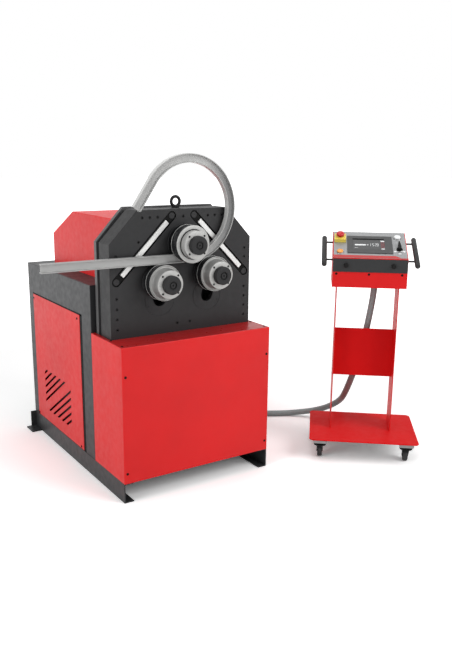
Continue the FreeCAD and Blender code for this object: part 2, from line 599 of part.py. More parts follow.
# sample profile: straight run, bend of one radius and straight tail, all of one section
def section(name):
    body = [("bar_wide/2", "0"), ("bar_wide/2", "bar_flange"), ("bar_web/2", "bar_flange"),
            ("bar_web/2", "bar_high - bar_flange"), ("bar_wide/2", "bar_high - bar_flange"),
            ("bar_wide/2", "bar_high")]
    corners = [("bar_mid_y + " + u, "bar_low_z + " + v) for u, v in body]
    corners += [("bar_mid_y - " + u, "bar_low_z + " + v) for u, v in reversed(body)]
    sketch = doc.addObject("Sketcher::SketchObject", name)
    sketch.Placement = FreeCAD.Placement(Vec(), FreeCAD.Rotation(Vec(1, 1, 1), 120))
    count = len(corners)
    spots = [Vec(number(u), number(v), 0) for u, v in corners]
    for i in range(count):
        sketch.addGeometry(Part.LineSegment(spots[i], spots[(i + 1) % count]), False)
    for i in range(count):
        sketch.addConstraint(Sketcher.Constraint("Coincident", i, 2, (i + 1) % count, 1))
    for i, (u, v) in enumerate(corners):
        put(sketch, "Constraints[%d]" % sketch.addConstraint(
            Sketcher.Constraint("DistanceX", -1, 1, i, 1, spots[i].x)), u)
        put(sketch, "Constraints[%d]" % sketch.addConstraint(
            Sketcher.Constraint("DistanceY", -1, 1, i, 1, spots[i].y)), v)
    return sketch


def pushed(length, way):
    thing = doc.addObject("Part::Extrusion", "run")
    thing.Base = section("run_section")
    thing.DirMode = "Custom"
    thing.Dir = Vec(way, 0, 0)
    thing.Solid = True
    put(thing, "LengthFwd", length)
    return thing


bend = doc.addObject("Part::Revolution", "bend")
bend.Source = section("bend_section")
bend.Axis = Vec(0, -1, 0)
put(bend, "Angle", "bend_turn")
put(bend, "Base.z", "loop_z")
bend.Solid = True
tail = pushed("bar_tail", 1)
tail.Placement.Rotation = FreeCAD.Rotation(Vec(0, -1, 0), SIZES["bend_turn"])
at(tail, "loop_z*sin(bend_turn)", "0", "loop_z*(1 - cos(bend_turn))")
node("sample_profile", joined(pushed("bar_left + bend_start", -1), bend, tail), x="bend_start")

# hydraulic unit: tank, lid and pump motor
tank = box("tank_left", "tank_right", "tank_front", "tank_back", HIDDEN, "tank_top")
lid = box("tank_left - 8", "tank_right + 8", "tank_front - 8", "tank_back + 8", "tank_top", "tank_top + 8")
pump = joined(rod("z", "unit_motor_x", "unit_motor_y", "tank_top + 8", "unit_motor_r - 20", "60"),
              rod("z", "unit_motor_x", "unit_motor_y", "tank_top + 68", "unit_motor_r",
                  "unit_motor_top - tank_top - 68"))
node("hydraulic_unit", joined(tank, lid, pump))

# console base on its caster mounts
def rounded_slab(x0, x1, y0, y1, z0, z1, corner):
    slabs = [box(x0 + " + " + corner, x1 + " - " + corner, y0, y1, z0, z1),
             box(x0, x1, y0 + " + " + corner, y1 + " - " + corner, z0, z1)]
    ends = [rod("z", x, y, z0, corner, "(%s) - (%s)" % (z1, z0))
            for x in (x0 + " + " + corner, x1 + " - " + corner)
            for y in (y0 + " + " + corner, y1 + " - " + corner)]
    return joined(*slabs, *ends)


slab = rounded_slab("base_left", "base_right", "base_front", "base_back", "base_top - base_thick",
                    "base_top", "base_corner")
CASTERS = [(x, "base_front + " + y) for y in ("caster_front", "caster_rear")
           for x in ("base_left + caster_in", "base_right - caster_in")]
mounts = [minus(box(x + " - caster_plate/2", x + " + caster_plate/2", y + " - caster_plate/2",
                    y + " + caster_plate/2", "crown_top + 1", "base_top - base_thick"),
                rod("z", x, y, "crown_top", "stem_r + run_gap", "base_top - base_thick - crown_top - 6"))
          for x, y in CASTERS]
console_node("console_base", joined(slab, *mounts))


# caster: crown, stem, two cheeks and an axle; the wheel trails behind the stem
def fork():
    crown = upright([("0*crown_r", "crown_low"), ("crown_r - 14", "crown_low"),
                     ("crown_r - 2", "crown_low + 4"), ("crown_r", "crown_low + 9"),
                     ("crown_r - 4", "crown_low + 15"),
                     ("crown_r - 16", "crown_top"), ("0*crown_r", "crown_top")])
    stem = rod("z", "0", "0", "crown_low + 1", "stem_r", "base_top - base_thick - crown_low - 10")
    cheeks = [plate("YZ_Plane", [("-16", "crown_low + 6"), ("caster_trail - 11", "wheel_r - 6"),
                                 ("caster_trail", "wheel_r - 11"), ("caster_trail + 11", "wheel_r - 6"),
                                 ("caster_trail + 8", "crown_low + 6")], low, high)
              for low, high in (("-wheel_wide/2 - fork_gap - fork_thick", "-wheel_wide/2 - fork_gap"),
                                ("wheel_wide/2 + fork_gap", "wheel_wide/2 + fork_gap + fork_thick"))]
    axle = rod("x", "-wheel_wide/2 - fork_gap - fork_thick", "caster_trail", "wheel_r", "axle_r",
               "wheel_wide + 2*fork_gap + 2*fork_thick")
    return joined(crown, stem, axle, *cheeks)


def wheel():
    tread = joined(cone("x", "-wheel_wide/2", "0", "wheel_r", "wheel_r - 4", "wheel_r", "4"),
                   rod("x", "-wheel_wide/2 + 4", "0", "wheel_r", "wheel_r", "wheel_wide - 8"),
                   cone("x", "wheel_wide/2 - 4", "0", "wheel_r", "wheel_r", "wheel_r - 4", "4"))
    return minus(tread, rod("x", "-wheel_wide/2 - 1", "0", "wheel_r", "axle_r + run_gap", "wheel_wide + 2"))


NAMES = ["front_left", "front_right", "rear_left", "rear_right"]
REAR_FORKS = []
for name, (x, y) in zip(NAMES, CASTERS):
    placed = at(group(fork()), x, y, "0")
    if name.startswith("front"):
        console_node("caster_fork_" + name[6:], placed)
    else:
        REAR_FORKS.append(placed)
    console_node("wheel_" + name, at(group(wheel()), x, y + " + caster_trail", "0"))
console_node("rear_caster_forks", *REAR_FORKS)

# console posts and the panel between them
posts = [box(x, x + " + post_thick", "post_front", "post_back", "base_top", "box_low")
         for x in ("post_left", "post_right")]
console_node("console_posts", *posts)
console_node("console_back_panel", box("post_left + post_thick", "post_right", "back_y",
                                       "back_y + back_thick", "back_low", "back_top"))

# console box: sheet box whose sloping top has a window under the face
RISE = "(box_back - box_front)*tan(face_tilt)"
profile = [("box_front", "box_low"), ("box_back", "box_low"), ("box_back", "box_edge + " + RISE),
           ("box_front", "box_edge")]
SKIN = "box_wall/cos(face_tilt)"
cavity = [("box_front + box_wall", "box_low + box_wall"), ("box_back - box_wall", "box_low + box_wall"),
          ("box_back - box_wall", "box_edge + %s - box_wall*tan(face_tilt) - %s" % (RISE, SKIN)),
          ("box_front + box_wall", "box_edge + box_wall*tan(face_tilt) - " + SKIN)]
tub = minus(plate("YZ_Plane", profile, "box_left", "box_right"),
            plate("YZ_Plane", cavity, "box_left + box_wall", "box_right - box_wall"),
            on_face(box("box_left + face_rim", "box_right - face_rim", "face_rim", "face_long - face_rim",
                        "-box_wall - 4", "1")),
            rod("z", "hose_top_x", "hose_top_y", "box_low - 1", "hose_r - 4", "box_wall + 2"),
            *[rod("y", x, "box_front - 1", "knob_z", "knob_stem_r + run_gap", "box_wall + 2")
              for x in ("knob_left_x", "knob_right_x")])
console_node("console_box", tub)
band = minus(box("box_left + 1", "box_right - 1", "box_front - band_thick", "box_front",
                 "band_low", "band_top"),
             *[rod("y", x, "box_front - band_thick - 1", "knob_z", "knob_stem_r + run_gap", "band_thick + 2")
               for x in ("knob_left_x", "knob_right_x")])
console_node("console_front_band", band)

# sloping face with its openings
face = box("box_left + face_side", "box_right - face_side", "face_side", "face_side + face_long - face_side",
           "0", "face_thick")
openings = [rod("z", u, v, "-1", radius + " + run_gap", "face_thick + 2") for u, v, radius in
            (("estop_u", "estop_v", "estop_stem_r"), ("orange_u", "orange_v", "button_stem_r"),
             ("white_u", "white_v", "button_stem_r"), ("selector_u", "selector_v", "button_stem_r"))]
console_node("console_faceplate", on_face(minus(face, *openings)))

bezel = box("box_mid - bezel_wide/2", "box_mid + bezel_wide/2", "bezel_low", "bezel_low + bezel_long",
            "face_thick", "face_thick + bezel_thick")
screen = box("screen_left", "screen_left + screen_wide", "screen_low", "screen_low + screen_long",
             "face_thick + bezel_thick - screen_deep", "face_thick + bezel_thick + 1")
console_node("display", on_face(minus(bezel, screen)))

pad = box("estop_u - estop_base/2", "estop_u + estop_base/2", "estop_v - estop_base/2",
          "estop_v + estop_base/2", "face_thick", "face_thick + estop_base_thick")
console_node("estop_base", on_face(minus(pad, rod("z", "estop_u", "estop_v", "0", "estop_stem_r + run_gap",
                                                  "face_thick + estop_base_thick + 1"))))

# controls: each is a cap on a stem that passes through the face
PAD_TOP = "face_thick + estop_base_thick"
stem = joined(rod("z", "estop_u", "estop_v", "-12", "estop_stem_r", PAD_TOP + " + 12 + 5"),
              rod("z", "estop_u", "estop_v", PAD_TOP + " + 4", "estop_pin_r", "11"))
mushroom = joined(cone("z", "estop_u", "estop_v", PAD_TOP + " + 6", "estop_r - 4", "estop_r", "5"),
                  cone("z", "estop_u", "estop_v", PAD_TOP + " + 11", "estop_r", "estop_r - 6",
                       "estop_lift - 5"))
console_node("estop_stem", on_face(stem))
console_node("estop_head", on_face(minus(mushroom, rod("z", "estop_u", "estop_v", PAD_TOP,
                                                       "estop_pin_r + run_gap", "16"))))


def push_button(u, v, radius):
    return on_face(joined(rod("z", u, v, "-12", "button_stem_r", "face_thick + 12 + button_lift + 1"),
                          rod("z", u, v, "face_thick + button_lift", radius, "button_cap - 2"),
                          cone("z", u, v, "face_thick + button_lift + button_cap - 2", radius,
                               radius + " - 2", "2")))


console_node("orange_button", push_button("orange_u", "orange_v", "orange_r"))
console_node("white_button", push_button("white_u", "white_v", "white_r"))
lever = plate("XY_Plane", [("selector_u - selector_half", "selector_v - 12"),
                           ("selector_u + selector_half", "selector_v - 12"),
                           ("selector_u + selector_half", "selector_v + 14"),
                           ("selector_u + selector_tip", "selector_v + selector_long"),
                           ("selector_u - selector_tip", "selector_v + selector_long"),
                           ("selector_u - selector_half", "selector_v + 14")],
              "face_thick + 7", "face_thick + 19")
console_node("selector_lever", on_face(joined(
    rod("z", "selector_u", "selector_v", "-12", "button_stem_r", "face_thick + 13"),
    rod("z", "selector_u", "selector_v", "face_thick + 0.5", "selector_r", "7"), lever)))


def knob(x):
    return joined(rod("y", x, "box_front - band_thick - 0.5 - knob_long", "knob_z", "knob_r", "knob_long"),
                  rod("y", x, "box_front - band_thick - 1", "knob_z", "knob_stem_r", "band_thick + 14"))


console_node("knob_left", knob("knob_left_x"))
console_node("knob_right", knob("knob_right_x"))


# handles: a tube on two standoffs at each side of the box
def handle(side):
    u = "box_mid + %d*((box_right - box_left)/2 + handle_out)" % side
    start = u if side < 0 else "box_right"
    tube = rod("y", u, "handle_low", "-handle_drop", "handle_r", "handle_long")
    legs = [rod("x", start, v, "-handle_drop", "standoff_r", "handle_out")
            for v in ("standoff_low", "standoff_high")]
    return on_face(joined(tube, *legs))


console_node("console_handles", *both(handle))

# hose glands, one on the right side panel and one under the console box
console_spin = FreeCAD.Rotation(Vec(0, 0, 1), SIZES["console_turn"])
console_at = Vec(SIZES["console_x"], SIZES["console_y"], 0)


def on_console(x, y, z):
    return console_spin.multVec(Vec(x, y, z)) + console_at


side_gland = rod("x", "cab_half + sheet_thick", "gland_y", "gland_z", "gland_r", "gland_long")
top_gland = group(rod("z", "hose_top_x", "hose_top_y", "box_low - gland_long", "gland_r", "gland_long"))
top_gland.Placement.Rotation = console_spin
at(top_gland, "console_x", "console_y", "0")
node("hose_glands", side_gland, top_gland)


# hose: straight runs joined by tangent arcs
def rounded_route(points):
    edges = []
    start = points[0]
    for before, corner, after in zip(points, points[1:], points[2:]):
        back, ahead = before - corner, after - corner
        half = back.getAngle(ahead) / 2
        reach = 0.45 * min(back.Length, ahead.Length)
        back.normalize()
        ahead.normalize()
        radius = reach * math.tan(half)
        print("hose bend radius %.0f at %.0f %.0f %.0f" % (radius, corner.x, corner.y, corner.z))
        centre = corner + (back + ahead).normalize() * (radius / math.sin(half))
        middle = centre + (corner - centre).normalize() * radius
        first, last = corner + back * reach, corner + ahead * reach
        edges.append(Part.LineSegment(start, first).toShape())
        edges.append(Part.Arc(first, middle, last).toShape())
        start = last
    edges.append(Part.LineSegment(start, points[-1]).toShape())
    return Part.Wire(edges)


FLOOR = SIZES["hose_r"] + 0.5
outlet = number("cab_half + sheet_thick + gland_long")
route = [Vec(outlet, SIZES["gland_y"], SIZES["gland_z"]),
         Vec(outlet + 180, SIZES["gland_y"], SIZES["gland_z"]),
         Vec(775, 702, FLOOR),
         on_console(-225, 700, FLOOR), on_console(-100, 731, FLOOR), on_console(79, 700, 61),
         on_console(185, 570, 162), on_console(218, 443, 266), on_console(292, 383, 538),
         on_console(SIZES["hose_top_x"], SIZES["hose_top_y"], 870),
         on_console(SIZES["hose_top_x"], SIZES["hose_top_y"], SIZES["box_low"] - SIZES["gland_long"])]
path = rounded_route(route)
mouth = Part.Wire(Part.makeCircle(SIZES["hose_r"], route[0], Vec(1, 0, 0)))
hose = doc.addObject("Part::Feature", "hose_tube")
hose.Shape = path.makePipeShell([mouth], True, False)
print("hose length %.0f volume ratio %.4f" % (
    path.Length, hose.Shape.Volume / (path.Length * math.pi * SIZES["hose_r"] ** 2)))
node("hose", hose)

doc.recompute()

# every piece is checked before it is written
for thing in doc.Objects:
    if "Invalid" in thing.State or "Error" in thing.State:
        raise RuntimeError("not rebuilt: " + thing.Label)
for thing in NODES:
    if thing.Shape.isNull() or not thing.Shape.isValid() or not thing.Shape.Solids:
        raise RuntimeError("bad shape: " + thing.Label)
    if thing.Shape.Volume <= 0:
        raise RuntimeError("no volume: " + thing.Label)
    thing.Shape.exportStep("parts/%s.step" % thing.Label)
    extent = thing.Shape.BoundBox
    print("%-22s %d solids %9.0f cm3  x %.1f..%.1f y %.1f..%.1f z %.1f..%.1f" % (
        thing.Label, len(thing.Shape.Solids), thing.Shape.Volume / 1000, extent.XMin, extent.XMax,
        extent.YMin, extent.YMax, extent.ZMin, extent.ZMax))
print("%d pieces" % len(NODES))
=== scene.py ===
import bpy
import bmesh
import json
import math
from mathutils import Matrix, Vector

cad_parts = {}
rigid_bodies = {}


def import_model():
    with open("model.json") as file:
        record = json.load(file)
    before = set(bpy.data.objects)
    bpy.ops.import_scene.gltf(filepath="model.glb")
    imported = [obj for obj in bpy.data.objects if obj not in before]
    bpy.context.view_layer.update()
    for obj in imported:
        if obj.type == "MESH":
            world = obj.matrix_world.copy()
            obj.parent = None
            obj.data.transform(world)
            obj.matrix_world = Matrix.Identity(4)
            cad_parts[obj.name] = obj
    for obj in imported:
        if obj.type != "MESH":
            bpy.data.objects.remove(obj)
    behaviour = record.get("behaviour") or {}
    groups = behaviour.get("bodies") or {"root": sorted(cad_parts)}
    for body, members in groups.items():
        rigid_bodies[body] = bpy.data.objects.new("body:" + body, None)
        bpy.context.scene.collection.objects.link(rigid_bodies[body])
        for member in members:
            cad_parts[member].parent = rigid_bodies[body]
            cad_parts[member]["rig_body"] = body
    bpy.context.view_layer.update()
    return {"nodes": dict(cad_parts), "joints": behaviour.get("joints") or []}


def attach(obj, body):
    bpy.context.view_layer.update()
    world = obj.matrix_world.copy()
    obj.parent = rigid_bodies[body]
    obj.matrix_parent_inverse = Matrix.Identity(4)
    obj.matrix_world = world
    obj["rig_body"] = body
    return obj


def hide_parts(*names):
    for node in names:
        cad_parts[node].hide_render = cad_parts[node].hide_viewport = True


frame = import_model()
NODES = frame["nodes"]
JOINTS = {joint["name"]: joint for joint in frame["joints"]}
MM = 0.001
BACK = 1188 * MM

FRONT, REAR, LEFT, RIGHT, TOP = (0, -1, 0), (0, 1, 0), (-1, 0, 0), (1, 0, 0), (0, 0, 1)

# the head's planes behind the cover's front, and the swing arms' axis, in millimetres
PLATE_FRONT, DISC_SEAT, PLATE_BACK, BLACKED_FROM = 160, 164, 185, 273
PIVOT_HIGH, ARM_LONG = 1006, 148


def spot(x, y, z):
    # millimetres from the centre plane, the cover's front and the floor
    return Vector((x * MM, y * MM - BACK, z * MM))


# console frame, and the frame of its sloping face
CONSOLE_TURN, FACE_TILT = math.radians(-40.2), math.radians(24.2)
BOX_FRONT, FACE_LOW_EDGE = 0.110, 1.112
CONSOLE = Matrix.Translation(spot(638.5, -71.8, 0)) @ Matrix.Rotation(CONSOLE_TURN, 4, "Z")
FACE = CONSOLE @ Matrix.Translation((0, BOX_FRONT, FACE_LOW_EDGE))
FACE = FACE @ Matrix.Rotation(FACE_TILT, 4, "X")


def face_at(u, v, w):
    # millimetres along, up and over the sloping face
    return FACE @ Matrix.Translation((u * MM, v * MM, w * MM))


# materials
def blank(name):
    material = bpy.data.materials.new(name)
    material.use_nodes = True
    tree = material.node_tree
    return material, tree, tree.nodes["Principled BSDF"]


def add(tree, kind, **settings):
    made = tree.nodes.new(kind)
    for key, value in settings.items():
        if key in made.inputs:
            made.inputs[key].default_value = value
        else:
            setattr(made, key, value)
    return made


def noise(tree, scale, detail, stretch=None):
    coords = add(tree, "ShaderNodeTexCoord")
    out = coords.outputs["Object"]
    if stretch:
        mapping = add(tree, "ShaderNodeMapping")
        mapping.inputs["Scale"].default_value = stretch
        tree.links.new(out, mapping.inputs["Vector"])
        out = mapping.outputs["Vector"]
    made = add(tree, "ShaderNodeTexNoise", Scale=scale, Detail=detail)
    tree.links.new(out, made.inputs["Vector"])
    return made.outputs["Fac"]


def ramp(tree, fac, low, high, start=0.3, stop=0.7):
    made = add(tree, "ShaderNodeMapRange")
    made.inputs["From Min"].default_value = start
    made.inputs["From Max"].default_value = stop
    made.inputs["To Min"].default_value = low
    made.inputs["To Max"].default_value = high
    tree.links.new(fac, made.inputs["Value"])
    return made.outputs["Result"]


def tinted(tree, fac, first, second):
    made = add(tree, "ShaderNodeMix", data_type="RGBA")
    made.inputs[6].default_value = (*first, 1)
    made.inputs[7].default_value = (*second, 1)
    tree.links.new(fac, made.inputs[0])
    return made.outputs[2]


def bumped(tree, shader, height, strength, distance):
    made = add(tree, "ShaderNodeBump", Strength=strength, Distance=distance)
    tree.links.new(height, made.inputs["Height"])
    tree.links.new(made.outputs["Normal"], shader.inputs["Normal"])


def paint(name, colour, rough, coat=0.0, grain=0.035, vary=0.10, metallic=0.0, peel=900.0,
          gloss=0.5):
    # powder coat: slow colour drift, fine grain in the gloss and an orange-peel surface
    material, tree, shader = blank(name)
    darker = tuple(channel * (1 - vary) for channel in colour)
    lighter = tuple(min(1.0, channel * (1 + vary * 0.5)) for channel in colour)
    tree.links.new(tinted(tree, ramp(tree, noise(tree, 2.6, 5.0), 0, 1), darker, lighter),
                   shader.inputs["Base Color"])
    tree.links.new(ramp(tree, noise(tree, 34.0, 4.0), rough - 0.05, rough + 0.07),
                   shader.inputs["Roughness"])
    shader.inputs["Metallic"].default_value = metallic
    shader.inputs["Specular IOR Level"].default_value = gloss
    shader.inputs["Coat Weight"].default_value = coat
    shader.inputs["Coat Roughness"].default_value = 0.12
    bumped(tree, shader, noise(tree, peel, 2.0), grain, 0.0006)
    return material


def brushed(name, colour, rough, scale, grain, stretch=(1, 1, 1), metallic=1.0):
    # ground or drawn metal: streaks along one axis
    material, tree, shader = blank(name)
    streak = noise(tree, scale, 6.0, stretch)
    darker = tuple(channel * 0.92 for channel in colour)
    tree.links.new(tinted(tree, ramp(tree, streak, 0, 1), darker, colour),
                   shader.inputs["Base Color"])
    tree.links.new(ramp(tree, streak, rough - 0.07, rough + 0.09), shader.inputs["Roughness"])
    shader.inputs["Metallic"].default_value = metallic
    bumped(tree, shader, streak, grain, 0.0004)
    return material


def turned(name, centre, colour, rough, metallic, gloss=0.5):
    # lathe-turned metal: fine rings about the roll's own axis
    material, tree, shader = blank(name)
    coords = add(tree, "ShaderNodeTexCoord")
    mapping = add(tree, "ShaderNodeMapping")
    mapping.inputs["Location"].default_value = (-centre[0], 0, -centre[2])
    tree.links.new(coords.outputs["Object"], mapping.inputs["Vector"])
    wave = add(tree, "ShaderNodeTexWave", wave_type="RINGS", rings_direction="Y", Scale=260.0,
               Distortion=0.6)
    tree.links.new(mapping.outputs["Vector"], wave.inputs["Vector"])
    drift = noise(tree, 14.0, 4.0)
    darker = tuple(channel * 0.88 for channel in colour)
    tree.links.new(tinted(tree, ramp(tree, drift, 0, 1), darker, colour),
                   shader.inputs["Base Color"])
    tree.links.new(ramp(tree, wave.outputs["Fac"], rough - 0.04, rough + 0.08, 0, 1),
                   shader.inputs["Roughness"])
    shader.inputs["Metallic"].default_value = metallic
    shader.inputs["Specular IOR Level"].default_value = gloss
    bumped(tree, shader, wave.outputs["Fac"], 0.06, 0.0003)
    return material


def fading(name, near, far, start, stop, rough, metallic):
    # a colour that turns from near to far between two distances from the centre plane, used for
    # painted shade
    material, tree, shader = blank(name)
    coords = add(tree, "ShaderNodeTexCoord")
    apart = add(tree, "ShaderNodeSeparateXYZ")
    tree.links.new(coords.outputs["Object"], apart.inputs[0])
    mottled = add(tree, "ShaderNodeMath", operation="MULTIPLY_ADD")
    tree.links.new(noise(tree, 9.0, 4.0), mottled.inputs[0])
    mottled.inputs[1].default_value = 0.03
    tree.links.new(apart.outputs[0], mottled.inputs[2])
    tree.links.new(tinted(tree, ramp(tree, mottled.outputs[0], 0, 1, start, stop), near, far),
                   shader.inputs["Base Color"])
    tree.links.new(ramp(tree, noise(tree, 34.0, 4.0), rough - 0.05, rough + 0.07),
                   shader.inputs["Roughness"])
    shader.inputs["Metallic"].default_value = metallic
    bumped(tree, shader, noise(tree, 14.0, 2.0), 0.01, 0.0006)
    return material


RED = paint("red_powder_coat", (0.74, 0.010, 0.011), 0.42, gloss=0.3)
# a deeper red for the cover's top face: painted shade
RED_TOP_PAINTED_SHADE = paint("red_cover_top_painted_shade", (0.42, 0.006, 0.007), 0.32, gloss=0.45)
RED_CONSOLE = paint("red_console_coat", (0.70, 0.010, 0.011), 0.48, gloss=0.22)
RED_SHADE = paint("red_base_coat", (0.70, 0.009, 0.010), 0.50, gloss=0.06)
STRIP = paint("strip_red", (0.52, 0.062, 0.064), 0.5, gloss=0.2)
DARK = paint("dark_grey_coat", (0.025, 0.026, 0.028), 0.42, gloss=0.28)
HEAD = paint("head_plate_coat", (0.020, 0.020, 0.021), 0.50, gloss=0.25)
GREY = paint("rear_plate_coat", (0.065, 0.065, 0.067), 0.45, vary=0.06)
BAND = paint("band_grey_coat", (0.025, 0.026, 0.027), 0.50, gloss=0.24)
BED = paint("guide_bed_coat", (0.004, 0.004, 0.004), 0.60, gloss=0.1)
MOUNT = paint("caster_mount_grey", (0.42, 0.42, 0.42), 0.45, vary=0.06)
INNER = paint("cast_motor_paint", (0.05, 0.05, 0.055), 0.5, grain=0.3, vary=0.2, peel=240.0)
BLACKED = paint("blackened_steel", (0.010, 0.010, 0.011), 0.45, grain=0.15, vary=0.15, metallic=0.3,
                peel=500.0, gloss=0.25)
PLASTIC = paint("black_plastic", (0.016, 0.016, 0.017), 0.5, grain=0.35, vary=0.08, peel=1400.0)
HANDLE = paint("handle_plastic", (0.010, 0.010, 0.010), 0.5, grain=0.2, vary=0.08, peel=1400.0,
               gloss=0.35)
KNOB = paint("knob_plastic", (0.004, 0.004, 0.004), 0.55, grain=0.1, vary=0.08, peel=1400.0,
             gloss=0.15)
TYRE = paint("wheel_rubber", (0.018, 0.018, 0.019), 0.68, grain=0.4, vary=0.12, peel=700.0)
HOSE = paint("hose_jacket", (0.32, 0.385, 0.385), 0.55, grain=0.25, peel=600.0, gloss=0.25)
RED_CAP = paint("red_mushroom", (0.58, 0.010, 0.013), 0.36, coat=0.1, grain=0.05, vary=0.05)
YELLOW = paint("yellow_collar", (0.85, 0.66, 0.10), 0.42, coat=0.1, grain=0.08, vary=0.05)
ORANGE = paint("orange_lens", (0.92, 0.36, 0.04), 0.25, coat=0.4, grain=0.05, vary=0.12)
WHITE = paint("white_lens", (0.86, 0.87, 0.88), 0.25, coat=0.4, grain=0.05, vary=0.04)
SCREEN = paint("screen_grey", (0.040, 0.041, 0.042), 0.35, coat=0.2, grain=0.03, vary=0.05)
BEZEL = paint("bezel_grey", (0.042, 0.043, 0.044), 0.45, grain=0.10, vary=0.05)
KEYS = paint("screen_key_red", (0.17, 0.035, 0.04), 0.4)
GROUND = brushed("ground_guide_steel", (0.60, 0.60, 0.59), 0.42, 30.0, 0.06, (30, 30, 1.2), 0.6)
FACEPLATE = brushed("brushed_face", (0.34, 0.345, 0.35), 0.45, 8.0, 0.04, (1.5, 60, 60), 0.5)
ZINC = brushed("zinc_screw", (0.48, 0.48, 0.48), 0.35, 200.0, 0.05)
# the sample profile: mill finish, a lighter grey on some faces of the bend as a painted highlight,
# and its web with painted shade
BAR = paint("mill_aluminium", (0.32, 0.32, 0.315), 0.50, grain=0.01, vary=0.05, metallic=0.40,
            peel=14.0)
# a lighter grey for some faces of the bend: painted highlight
BAR_PAINTED_HIGHLIGHT = paint("aluminium_painted_highlight", (0.62, 0.62, 0.61), 0.45, grain=0.01, vary=0.05, metallic=0.40,
               peel=14.0)
# the web turns darker towards the right side of the loop: painted shade
WEB_PAINTED_SHADE = fading("web_painted_shade", (0.32, 0.32, 0.315), (0.15, 0.15, 0.15), 0.13, 0.25, 0.50, 0.40)


# mesh helpers
def piece(name, bm, material, body, *replaced, smooth=40, bevel=0.0, segments=2):
    mesh = bpy.data.meshes.new(name)
    bm.to_mesh(mesh)
    bm.free()
    made = bpy.data.objects.new(name, mesh)
    bpy.context.scene.collection.objects.link(made)
    for single in material if isinstance(material, (list, tuple)) else [material]:
        mesh.materials.append(single)
    if bevel:
        edge = made.modifiers.new("edges", "BEVEL")
        edge.width = bevel
        edge.segments = segments
        edge.limit_method = "ANGLE"
        edge.angle_limit = math.radians(38)
        edge.harden_normals = False
    for polygon in mesh.polygons:
        polygon.use_smooth = True
    mesh.set_sharp_from_angle(angle=math.radians(smooth))
    if bevel:
        weigh = made.modifiers.new("shading", "WEIGHTED_NORMAL")
        weigh.keep_sharp = True
    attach(made, body)
    if replaced:
        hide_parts(*replaced)
    return made


def from_node(node):
    # a welded copy of a frame mesh with its flat faces merged
    bm = bmesh.new()
    bm.from_mesh(NODES[node].data)
    bmesh.ops.remove_doubles(bm, verts=bm.verts, dist=2e-5)
    bmesh.ops.dissolve_limit(bm, angle_limit=math.radians(0.6), verts=bm.verts, edges=bm.edges)
    return bm


def dressed(node, material, bevel, segments=2):
    # the frame's own shape with rounded edges, riding on the node's body
    return piece(node + "_finish", from_node(node), material, NODES[node]["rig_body"], node,
                 bevel=bevel, segments=segments)


def weigh_edges(bm, weigh):
    # a bevel weight for every edge between two faces
    layer = bm.edges.layers.float.new("bevel_weight_edge")
    for line in bm.edges:
        if len(line.link_faces) == 2:
            line[layer] = weigh(line, *line.link_faces)


def weighted(made, width, segments):
    rounding = made.modifiers.new("folds", "BEVEL")
    rounding.width = width
    rounding.segments = segments
    rounding.limit_method = "WEIGHT"
    shading = made.modifiers.new("shading", "WEIGHTED_NORMAL")
    shading.keep_sharp = True
    return made


def seamless(node, materials, width, seam, split=None):
    # rounded edges except where two welded pieces meet; past the split level the second material
    bm = from_node(node)

    def weigh(line, first, second):
        meets = all(abs(vertex.co.y - seam) < 2e-4 for vertex in line.verts)
        return 0.0 if meets or first.normal.angle(second.normal, 0) < math.radians(30) else 1.0

    weigh_edges(bm, weigh)
    if split:
        for face in bm.faces:
            face.material_index = 1 if face.calc_center_median().y > split else 0
    return weighted(piece(node + "_finish", bm, materials, NODES[node]["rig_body"], node), width, 2)


def folded(node, material, fold, edge=0.0009):
    # folded sheet: long folds get a wide radius, cut edges a fine one
    bm = from_node(node)

    def weigh(line, first, second):
        if first.normal.angle(second.normal, 0) < math.radians(12):
            return 0.0
        wide = min(first.calc_area(), second.calc_area()) > 0.012 and line.calc_length() > 0.15
        return 1.0 if wide else edge / fold

    weigh_edges(bm, weigh)
    return weighted(piece(node + "_finish", bm, material, NODES[node]["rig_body"], node), fold, 4)


def sized(outline):
    # outline points from millimetres to metres
    return [(first * MM, second * MM) for first, second in outline]


def ring_mesh(bm, outline, place, count, material=0):
    # turns (radius, height) points about the local z axis; radius 0 closes a pole
    rings = []
    for radius, height in outline:
        if radius < 1e-6:
            rings.append([bm.verts.new(place @ Vector((0, 0, height)))])
        else:
            angles = [2 * math.pi * i / count for i in range(count)]
            rings.append([bm.verts.new(place @ Vector((radius * math.cos(angle),
                                                       radius * math.sin(angle), height)))
                          for angle in angles])
    for low, high in zip(rings, rings[1:]):
        for i in range(count):
            j = (i + 1) % count
            corners = [low[i % len(low)], low[j % len(low)],
                       high[j % len(high)], high[i % len(high)]]
            unique = []
            for corner in corners:
                if corner not in unique:
                    unique.append(corner)
            if len(unique) > 2:
                bm.faces.new(unique).material_index = material


def lathe(name, outline, place, material, body, *replaced, count=96, closed=False):
    bm = bmesh.new()
    points = list(outline) + ([outline[0]] if closed else [])
    ring_mesh(bm, points, place, count)
    if closed:
        bmesh.ops.remove_doubles(bm, verts=bm.verts, dist=1e-6)
    bmesh.ops.recalc_face_normals(bm, faces=bm.faces)
    piece(name, bm, material, body, *replaced, smooth=34)


def towards(origin, direction):
    # a frame at origin whose z axis points along direction
    turn = Vector(direction).to_track_quat("Z", "Y").to_matrix().to_4x4()
    return Matrix.Translation(origin) @ turn


def socket_screw(bm, place, radius, height, drive):
    # cylinder head with a chamfered rim and a hexagon socket
    sides = 24
    ring_mesh(bm, [(radius, 0), (radius, height - radius * 0.18), (radius * 0.84, height),
                   (drive * 1.02, height)], place, sides)
    ring_mesh(bm, [(drive, height), (drive, height * 0.35), (0, height * 0.35)], place, 6)


def pan_screw(bm, place, radius, height):
    # low domed head with a round recess pressed in
    ring_mesh(bm, [(radius, 0), (radius, height * 0.25), (radius * 0.86, height * 0.72),
                   (radius * 0.55, height), (radius * 0.3, height), (radius * 0.22, height * 0.45),
                   (0, height * 0.45)], place, 20)


